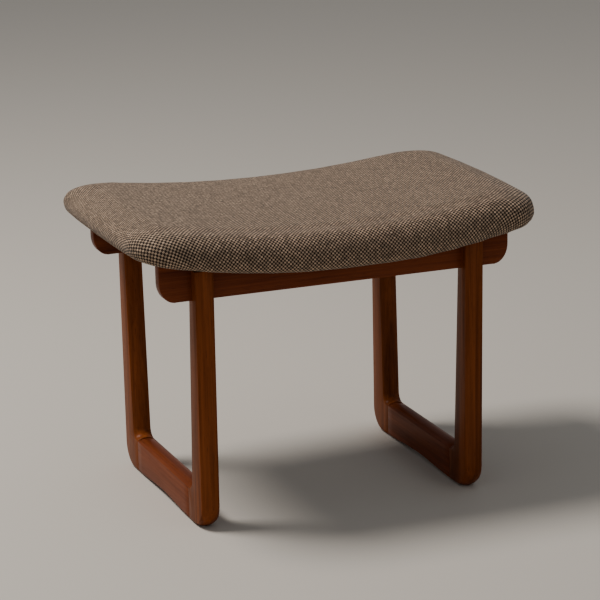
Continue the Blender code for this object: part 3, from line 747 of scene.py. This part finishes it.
height = add_node(t, "ShaderNodeMix", data_type="FLOAT")
wire(t, height.inputs[0], over)
wire(t, height.inputs[2], ridge(u, v))
wire(t, height.inputs[3], ridge(v, u))
height = height.outputs[0]
cell = add_node(t, "ShaderNodeCombineXYZ", cell_u, cell_v, over).outputs[0]
fleck = add_node(t, "ShaderNodeTexWhiteNoise", cell, noise_dimensions="3D").outputs["Value"]
warp_number = add_node(t, "ShaderNodeCombineXYZ", cell_u, 0.0, 3.0).outputs[0]
warp_yarn = add_node(t, "ShaderNodeTexWhiteNoise", warp_number, noise_dimensions="3D").outputs["Value"]
weft_number = add_node(t, "ShaderNodeCombineXYZ", 7.0, cell_v, 0.0).outputs[0]
weft_yarn = add_node(t, "ShaderNodeTexWhiteNoise", weft_number, noise_dimensions="3D").outputs["Value"]


def slub(yarn_number, along, yarn_shift, seed):
    """Thick and thin stretches along each yarn, from 0 to 1."""
    started = sum_of(t, "MULTIPLY", yarn_shift, 9.0)
    stretch = sum_of(t, "FLOOR", sum_of(t, "MULTIPLY_ADD", along, 0.4, started))
    where = add_node(t, "ShaderNodeCombineXYZ", yarn_number, stretch, seed).outputs[0]
    return add_node(t, "ShaderNodeTexWhiteNoise", where, noise_dimensions="3D").outputs["Value"]


slubs = add_node(t, "ShaderNodeMix", data_type="FLOAT")
wire(t, slubs.inputs[0], over)
wire(t, slubs.inputs[2], slub(cell_v, u, weft_yarn, 5.0))
wire(t, slubs.inputs[3], slub(cell_u, v, warp_yarn, 11.0))
slubs = slubs.outputs[0]
fibre = add_node(t, "ShaderNodeTexNoise", place, Scale=7.0, Detail=3.0).outputs[0]
pale = blend_color(t, sum_of(t, "MULTIPLY_ADD", fleck, 0.45, sum_of(t, "MULTIPLY", warp_yarn, 0.15)),
                   weave_in.outputs["Pale"], (0.26, 0.17, 0.11, 1.0))
dark = blend_color(t, sum_of(t, "MULTIPLY_ADD", fleck, 0.3, sum_of(t, "MULTIPLY", weft_yarn, 0.2)),
                   weave_in.outputs["Dark"], (0.06, 0.036, 0.022, 1.0))
yarn = blend_color(t, over, dark, pale)
# The yarn colour is multiplied by the height, so it darkens at the yarns' edges and at both ends of each
# cell: painted shade in the gaps between yarns. The fibre and slub noise that follow are the yarn's own
# uneven tone.
gap_shade_and_yarn_tone = sum_of(t, "MULTIPLY_ADD", height, 0.85, 0.15)
gap_shade_and_yarn_tone = sum_of(t, "MULTIPLY", gap_shade_and_yarn_tone, sum_of(t, "MULTIPLY_ADD", fibre, 0.7, 0.65))
gap_shade_and_yarn_tone = sum_of(t, "MULTIPLY", gap_shade_and_yarn_tone, sum_of(t, "MULTIPLY_ADD", slubs, 0.62, 0.68))
gap_shade_and_yarn_tone = add_node(t, "ShaderNodeCombineXYZ", gap_shade_and_yarn_tone, gap_shade_and_yarn_tone, gap_shade_and_yarn_tone).outputs[0]
yarn = blend_color(t, 1.0, yarn, gap_shade_and_yarn_tone, "MULTIPLY")
wire(t, weave_out.inputs["Color"], yarn)
wire(t, weave_out.inputs["Height"], sum_of(t, "MULTIPLY_ADD", fibre, 0.2, height))
wire(t, weave_out.inputs["Roughness"], sum_of(t, "MULTIPLY_ADD", fibre, 0.1, 0.82))

tweed, tree, shader = new_finish("two_tone_hopsack", (0.19, 0.14, 0.105, 1.0), 0.88,
                                 Specular_IOR_Level=0.2, Sheen_Weight=0.08, Sheen_Roughness=0.5)
weave = tree.nodes.new("ShaderNodeGroup")
weave.node_tree = hopsack
wire(tree, weave.inputs["Vector"], add_node(tree, "ShaderNodeUVMap", uv_map="weave").outputs[0])
wire(tree, shader.inputs["Base Color"], weave.outputs["Color"])
wire(tree, shader.inputs["Roughness"], weave.outputs["Roughness"])
wire(tree, shader.inputs["Normal"],
     add_node(tree, "ShaderNodeBump", Strength=0.5, Distance=0.0006,
              Height=weave.outputs["Height"]).outputs[0])
dress(cushion, tweed)
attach(cushion, "root")
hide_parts("seat_cover")


# Foam pad.
# Moulded cream foam with open cells. It lies round the board's edge and over its top, and
# only shows if the cover is taken off.
foam, tree, shader = new_finish("cream_foam", (0.75, 0.70, 0.56, 1.0), 0.95)
place = add_node(tree, "ShaderNodeTexCoord").outputs["Object"]
cells = add_node(tree, "ShaderNodeTexVoronoi", place, Scale=650.0).outputs["Distance"]
# The colour darkens towards the middle of each cell, where the bump sinks it: painted shade in the open
# pores.
wire(tree, shader.inputs["Base Color"],
     blend_color(tree, cells, (0.55, 0.49, 0.36, 1.0), (0.82, 0.77, 0.63, 1.0)))
wire(tree, shader.inputs["Normal"],
     add_node(tree, "ShaderNodeBump", Strength=0.5, Distance=0.0006, Height=cells).outputs[0])
only(pad)
bpy.ops.object.shade_smooth_by_angle(angle=math.radians(50.0))
dress(pad, foam)
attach(pad, "root")
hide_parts("seat_foam")
